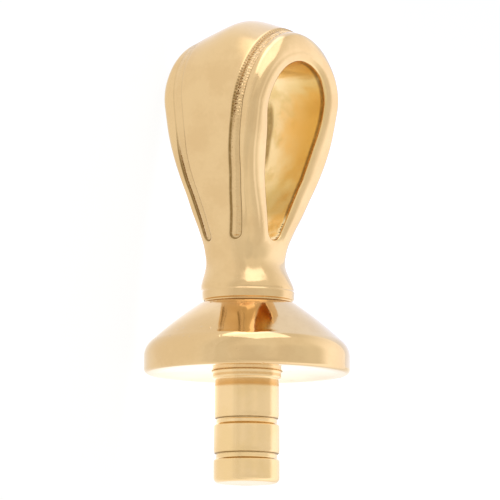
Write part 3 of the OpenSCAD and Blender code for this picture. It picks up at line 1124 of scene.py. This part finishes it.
@dataclass
class Turned:
    """A piece that is turned round the part's axis."""

    name: str
    finish: GoldFinish
    steps: int = 224
    step: float = 0.05

    def profile(self) -> np.ndarray:
        """Return the profile, as distances from the axis and heights."""
        raise NotImplementedError

    def closed(self) -> bool:
        """Say whether the profile is a ring clear of the axis."""
        return False

    def shade(self, z: np.ndarray) -> np.ndarray:
        """Say how much painted shade lies at some heights, from 0 to 1."""
        return 0 * z

    def build(self, tool: Tooling) -> bpy.types.Object:
        """Turn the profile.

        Args:
            tool: The lathe.

        Returns:
            The piece, in millimetres in the upright frame.
        """
        points = self.profile()
        count = len(points)
        hub = 0.5
        edges = [(k, k + 1) for k in range(count - 1)] + ([(count - 1, 0)] if self.closed() else [])
        mesh = bpy.data.meshes.new(self.name)
        mesh.from_pydata([(r - hub, -z, 0.0) for r, z in points], edges, [])
        obj = bpy.data.objects.new(self.name, mesh)
        bpy.context.scene.collection.objects.link(obj)
        tool.apply(obj, {"Steps": self.steps, "Hub": hub})
        skin = bmesh.new()
        skin.from_mesh(obj.data)
        bmesh.ops.recalc_face_normals(skin, faces=skin.faces)
        skin.to_mesh(obj.data)
        skin.free()
        place = np.empty(3 * len(obj.data.vertices), np.float32)
        obj.data.vertices.foreach_get("co", place)
        # Painted shade: the recess and groove marks draw a dark line wherever shade() is high.
        dark = self.shade(place[2::3])
        for mark, value in ((Mark.RECESS, dark), (Mark.GROOVE, LINE * dark)):
            layer = obj.data.attributes.new(mark.value, "FLOAT", "POINT")
            layer.data.foreach_set("value", value.astype(np.float32))
        return obj


def spaced(points: np.ndarray, step: float) -> np.ndarray:
    """Put points between the corners of a profile, no further apart than a step."""
    out = [points[:1]]
    for a, b in zip(points, points[1:]):
        count = max(1, math.ceil(float(np.linalg.norm(b - a)) / step))
        out.append(a + (b - a) * (np.arange(1, count + 1) / count)[:, None])
    return np.concatenate(out)


@dataclass
class Cap(Turned):
    """The conical cup with an upright band at its rim and a shallow dish underneath."""

    name: str = "cap_gold_cup"
    finish: GoldFinish = field(default_factory=lambda: GoldFinish(
        "cap_polished_gold", smooth=0.06, dull=0.13, orange_peel=0.3, scratches=0.2, pits=6.0, specks=1.2,
        seed=3.0))
    diameter: float = 4.0
    height: float = 1.37
    rim_round: float = 0.09
    shoulder_low: float = 0.33
    shoulder_corner: float = 0.53
    shoulder_high: tuple[float, float] = (1.825, 0.665)
    seat: float = 1.9
    seat_round: float = 0.05
    swell: float = 0.02
    dish: float = 0.06
    ring: float = 0.16
    hole: float = 0.44
    slope_rows: int = 25
    shoulder_rows: int = 13

    def closed(self) -> bool:
        """Say that the profile is a ring, because the cap has a hole."""
        return True

    def profile(self) -> np.ndarray:
        """Return the cap's profile, as distances from the axis and heights."""
        radius = self.diameter / 2
        foot = np.array(self.shoulder_high)
        low, corner = np.array([radius, self.shoulder_low]), np.array([radius, self.shoulder_corner])
        head = np.array([self.seat / 2, self.height])
        along = head - foot
        normal = np.array([along[1], -along[0]]) / np.linalg.norm(along)
        t = np.linspace(0, 1, self.slope_rows)[:, None]
        slope = foot + along * t + normal * self.swell * np.sin(math.pi * t)
        t = np.linspace(0, 1, self.shoulder_rows)[:-1, None]
        shoulder = (1 - t) ** 2 * low + 2 * t * (1 - t) * corner + t ** 2 * foot
        top = head + np.array([-self.seat_round, 0.0])
        outer = np.concatenate([
            arc((radius - self.rim_round, self.rim_round), self.rim_round, -90, 0, 8),
            shoulder, slope[:-1], [blend(head, slope[-2], 0.5)], [top], [[self.hole, self.height]]])
        reach = radius - self.rim_round - self.ring
        r = np.linspace(self.hole, reach, self.slope_rows)
        inner = np.stack([r, self.dish * (1 - (r / reach) ** 2)], 1)
        return spaced(np.concatenate([outer, inner]), self.step)


@dataclass
class Peg(Turned):
    """The peg with its tapered root, two grooves between barrels, and the tang."""

    name: str = "peg_grooved_pin"
    finish: GoldFinish = field(default_factory=lambda: GoldFinish(
        "peg_turned_gold", tone=(0.90, 0.65, 0.35), warm_tone=(0.87, 0.62, 0.31), smooth=0.12, dull=0.22,
        grain=(1.0, 1.0, 14.0), scratches=0.5, seed=5.0))
    steps: int = 160
    diameter: float = 1.28
    length: float = 2.12
    shank: float = 1.26
    root: float = 1.325
    root_height: float = 0.14
    shoulder: float = 0.0505
    fillet: float = 0.03
    collar: float = 0.1
    collar_chamfer: float = 0.01
    collar_gap: float = 0.006
    waist: float = 1.23
    undercut: float = 0.02
    undercut_from: float = 0.003
    undercut_to: float = 0.024
    neck_round: float = 1.19
    neck_height: float = 0.09
    ledges: tuple[float, float] = (0.872, 1.55)
    ledge_edge: tuple[tuple[float, float], ...] = ((0.0, 0.07), (0.012, 0.012), (0.022, 0.0))
    ledge_shade: float = 0.012
    flare: float = 0.02
    barrel_round: float = 0.045
    barrel_turn: float = 75.0
    end_round: float = 0.1
    tang: float = 0.84
    tang_top: float = 2.03
    tang_chamfer: float = 0.05

    def shade(self, z: np.ndarray) -> np.ndarray:
        """Say how much painted shade lies at some heights, from 0 to 1: a dark line at each ledge."""
        return np.max([np.exp(-((z + ledge) / self.ledge_shade) ** 2) for ledge in self.ledges], 0)

    def profile(self) -> np.ndarray:
        """Return the peg's profile, as distances from the axis and heights."""
        radius = self.diameter / 2
        tang = self.tang / 2
        points = [[0.0, self.tang_top], [tang - self.tang_chamfer, self.tang_top],
                  [tang, self.tang_top - self.tang_chamfer], [tang, self.shoulder],
                  [self.root / 2 + self.fillet, self.shoulder], [self.root / 2, self.shoulder - self.fillet],
                  [self.root / 2, self.collar_chamfer - self.collar],
                  [self.root / 2 - self.collar_chamfer, -self.collar]]
        t = np.linspace(0, 1, 9)[:, None]
        flare = blend(self.waist / 2, self.shank / 2, t ** 2)
        points += np.hstack([flare, -self.collar - self.collar_gap - self.root_height * t]).tolist()
        above, neck = self.shank / 2, self.neck_round / 2
        for z in self.ledges:
            points += [[above - inset, rise - z] for inset, rise in self.ledge_edge]
            points += [[neck - self.undercut, -z - self.undercut_from], [neck, -z - self.undercut_to]]
            points += [[neck, -z - self.neck_height]]
            centre = (radius - self.barrel_round, -z - self.neck_height - self.flare - self.barrel_round)
            points += arc(centre, self.barrel_round, self.barrel_turn, 0, 6).tolist()
            above = radius
        centre = (radius - self.end_round, -self.length + self.end_round)
        points += arc(centre, self.end_round, 0, -90, 8).tolist()
        points += [[0.0, -self.length]]
        return spaced(np.array(points), self.step)


@dataclass
class Studio:
    """The pale floor, the soft light, and the camera at the photograph's angle.

    The floor's and the card's places are in millimetres in the row's frame, the room's are shares
    of a direction, and strengths are radiances.
    """

    placement: Placement
    azimuth: float = 37.0
    elevation: float = -7.0
    roll: float = 0.3
    pixels_per_mm: float = 51.7
    image: float = 500.0
    origin_pixel: tuple[float, float] = (247.0, 374.13)
    lens: float = 500.0
    sensor: float = 36.0
    room: float = 0.87
    room_tint: tuple[float, float, float] = (1.0, 0.995, 0.97)
    behind: float = 0.53
    behind_tint: tuple[float, float, float] = (0.98, 1.0, 1.1)
    behind_way: tuple[float, float] = (0.4, 0.92)
    behind_edge: Band = Band(-0.05, 0.75)
    behind_foot: Band = Band(0.1, 0.55, 0.8, 1.0)
    behind_head: Band = Band(0.6, 0.85, 1.0, 0.0)
    dome_edge: Band = Band(-0.05, 0.6, 0.1, 0.0)
    dome_foot: Band = Band(0.15, 0.45)
    dome_head: Band = Band(0.85, 0.97, 1.0, 0.0)
    opening_way: tuple[float, float, float] = (0.15, -0.70, 0.70)
    opening_edge: Band = Band(0.83, 0.97, 0.0, -0.13)
    floor_half: float = 600.0
    floor_grey: float = 0.09
    floor_light: float = 0.93
    floor_tint: tuple[float, float, float] = (1.0, 1.0, 0.99)
    floor_behind: float = 0.42
    floor_cool: tuple[float, float, float] = (0.93, 1.0, 1.2)
    floor_rough: float = 0.9
    front: Band = Band(-16.0, -5.4, -0.1, 0.0)
    zone_near: Band = Band(-1.3, 0.8)
    zone_far: Band = Band(3.5, 6.5, 1.0, 0.3)
    zone_left: Band = Band(-6.5, 2.0, 0.35, 1.0)
    zone_right: Band = Band(3.0, 4.2, 1.0, 0.25)
    cool_right: Band = Band(0.5, 2.5, 1.0, 0.0)
    spot_near: Band = Band(-6.5, -5.0)
    spot_far: Band = Band(-1.0, -0.3, 1.0, 0.0)
    spot_right: Band = Band(-7.7, -6.3, 1.6, 0.0)
    card_place: tuple[float, float, float] = (-8.2, -2.5, 4.0)
    card_size: tuple[float, float] = (8.2, 8.0)
    card_light: float = 0.85
    card_tint: tuple[float, float, float] = (1.0, 1.0, 1.15)
    bounces: int = 10

    def build(self) -> None:
        """Make the camera, the floor, the card of light and the room."""
        self.build_camera()
        self.build_floor()
        self.build_world()
        self.build_lights()
        settings = bpy.context.scene.view_settings
        settings.view_transform = "Standard"
        settings.look = "None"
        bpy.context.scene.cycles.glossy_bounces = self.bounces

    def axes(self) -> tuple[Vector, Vector, Vector]:
        """Return the picture's right, its up, and the direction to the viewer."""
        back = self.placement.direction(self.azimuth, self.elevation)
        right = self.placement.direction(self.azimuth + 90.0, 0.0)
        up = back.cross(right)
        roll = math.radians(self.roll)
        return (right * math.cos(roll) + up * math.sin(roll),
                up * math.cos(roll) - right * math.sin(roll), back)

    def build_camera(self) -> None:
        """Make the camera, so far off that its lens hardly narrows the part."""
        right, up, back = self.axes()
        across = (self.image / 2 - self.origin_pixel[0]) / self.pixels_per_mm * MM
        rise = (self.origin_pixel[1] - self.image / 2) / self.pixels_per_mm * MM
        target = self.placement.origin + right * across + up * rise
        width = self.image / self.pixels_per_mm * MM
        data = bpy.data.cameras.new("camera")
        data.lens, data.sensor_width = self.lens, self.sensor
        distance = width * self.lens / self.sensor
        data.clip_start, data.clip_end = 0.002, 10.0
        camera = bpy.data.objects.new("camera", data)
        bpy.context.scene.collection.objects.link(camera)
        turn = Matrix((right, up, back)).transposed().to_4x4()
        camera.matrix_world = Matrix.Translation(target + back * distance) @ turn
        bpy.context.scene.camera = camera

    def build_floor(self) -> None:
        """Make the pale floor, a sheet of paper that glows by its own emission: painted light, brighter
        behind the part and in a spot by the card, darker to the front, cooler behind.
        """
        mesh = bpy.data.meshes.new("floor")
        half = self.floor_half * MM
        corners = [(-half, -half, 0), (half, -half, 0), (half, half, 0), (-half, half, 0)]
        mesh.from_pydata(corners, [], [(0, 1, 2, 3)])
        floor = bpy.data.objects.new("floor", mesh)
        bpy.context.scene.collection.objects.link(floor)
        made = bpy.data.materials.new("floor_glowing_paper")
        made.use_nodes = True
        graph = Graph(made.node_tree)
        own = graph.node("ShaderNodeTexCoord").outputs["Object"]
        x, y, _ = graph.node("ShaderNodeSeparateXYZ", {0: own}).outputs

        def zone(axis: bpy.types.NodeSocket, band: Band) -> bpy.types.NodeSocket:
            """Return the value of a band that is given in millimetres."""
            return graph.ramp(axis, band.scaled(MM))

        # Painted light: the floor's glow is brighter behind the part and by the card, darker to the front,
        # and cooler behind.
        near = zone(y, self.zone_near)
        share = graph.times(near, zone(x, self.zone_left), zone(x, self.zone_right), zone(y, self.zone_far))
        spot = graph.times(zone(x, self.spot_right), zone(y, self.spot_far), zone(y, self.spot_near))
        share = graph.math("MAXIMUM", share, spot)
        cool = graph.times(near, zone(x, self.cool_right))
        light = graph.plus(graph.times(share, self.floor_behind), self.floor_light, zone(y, self.front))
        shader = made.node_tree.nodes["Principled BSDF"].inputs
        made.node_tree.links.new(graph.mix(cool, self.floor_tint, self.floor_cool), shader["Emission Color"])
        made.node_tree.links.new(light, shader["Emission Strength"])
        shader["Base Color"].default_value = (*(self.floor_grey,) * 3, 1.0)
        shader["Roughness"].default_value = self.floor_rough
        shader["Specular IOR Level"].default_value = 0.0
        mesh.materials.append(made)

    def build_world(self) -> None:
        """Make the light of the room: even in front, brighter low behind the part."""
        world = bpy.data.worlds.new("studio")
        world.use_nodes = True
        world.node_tree.nodes.clear()
        graph = Graph(world.node_tree)
        seen = graph.node("ShaderNodeTexCoord").outputs["Generated"]
        x, y, z = graph.node("ShaderNodeSeparateXYZ", {0: seen}).outputs
        across, along = self.behind_way
        back = graph.plus(graph.times(x, across), graph.times(y, along))
        behind = graph.times(graph.ramp(back, self.behind_edge), graph.ramp(z, self.behind_head),
                             graph.ramp(z, self.behind_foot))
        dome = graph.times(graph.ramp(z, self.dome_foot), graph.ramp(z, self.dome_head),
                           graph.ramp(back, self.dome_edge))
        towards = graph.node("ShaderNodeVectorMath", {0: seen, 1: self.opening_way}, operation="DOT_PRODUCT")
        opening = graph.ramp(towards.outputs["Value"], self.opening_edge)
        light = graph.plus(graph.times(behind, self.behind), self.room, opening, dome)
        tint = graph.mix(behind, self.room_tint, self.behind_tint)
        shade = graph.node("ShaderNodeBackground", {"Color": tint, "Strength": light})
        out = graph.node("ShaderNodeOutputWorld")
        world.node_tree.links.new(shade.outputs[0], out.inputs["Surface"])
        bpy.context.scene.world = world

    def build_lights(self) -> None:
        """Make the soft card of light on the left, past the loop's crown. The camera doesn't see it."""
        width, height = self.card_size
        data = bpy.data.lights.new("softbox_left", "AREA")
        data.shape = "RECTANGLE"
        data.size, data.size_y = width * MM, height * MM
        data.color = self.card_tint
        data.energy = self.card_light * math.pi * width * height * MM * MM
        light = bpy.data.objects.new("softbox_left", data)
        bpy.context.scene.collection.objects.link(light)
        light.visible_camera = False
        turn = Vector((-1.0, 0.0, 0.0)).to_track_quat("Z", "Y").to_matrix().to_4x4()
        light.matrix_world = Matrix.Translation(Vector(self.card_place) * MM) @ turn


def place(obj: bpy.types.Object, placement: Placement) -> None:
    """Lay a finished mesh in the row's frame, with its object at the origin."""
    obj.data.transform(placement.matrix())
    obj.data.update()


def main() -> None:
    """Load the frame, build the pieces in order and report each."""
    logging.basicConfig(level=logging.INFO, format="%(name)s: %(message)s")
    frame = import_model()
    placement = Placement.from_record(frame["record"])
    Studio(placement).build()
    turning, finish = lathe(), finishing()
    loop, cap, peg = BailLoop(), Cap(), Peg()
    loop_piece = loop.build().to_object("loop_tulip")
    pieces = (
        (loop_piece, loop.finish, "bail_loop", "loop_gold",
         {"Unevenness": 0.006, "Waves": 1.1, "Chatter": 0.006, "Filing": 0.02, "Seed": 1.0}),
        (cap.build(turning), cap.finish, "cap", "cap_gold", {"Unevenness": 0.005, "Waves": 1.4, "Seed": 2.0}),
        (peg.build(turning), peg.finish, "peg", "peg_gold", {"Unevenness": 0.003, "Waves": 2.2, "Seed": 3.0}),
    )
    for piece, gold, node, slot, values in pieces:
        finish.apply(piece, {**values, "Material": gold.material(placement)})
        place(piece, placement)
        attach(piece, "root")
        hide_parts(node)
        piece.data.calc_loop_triangles()
        LOG.info("%s stands for %s: %d triangles", piece.name, node, len(piece.data.loop_triangles))


if __name__ == "__main__":
    main()
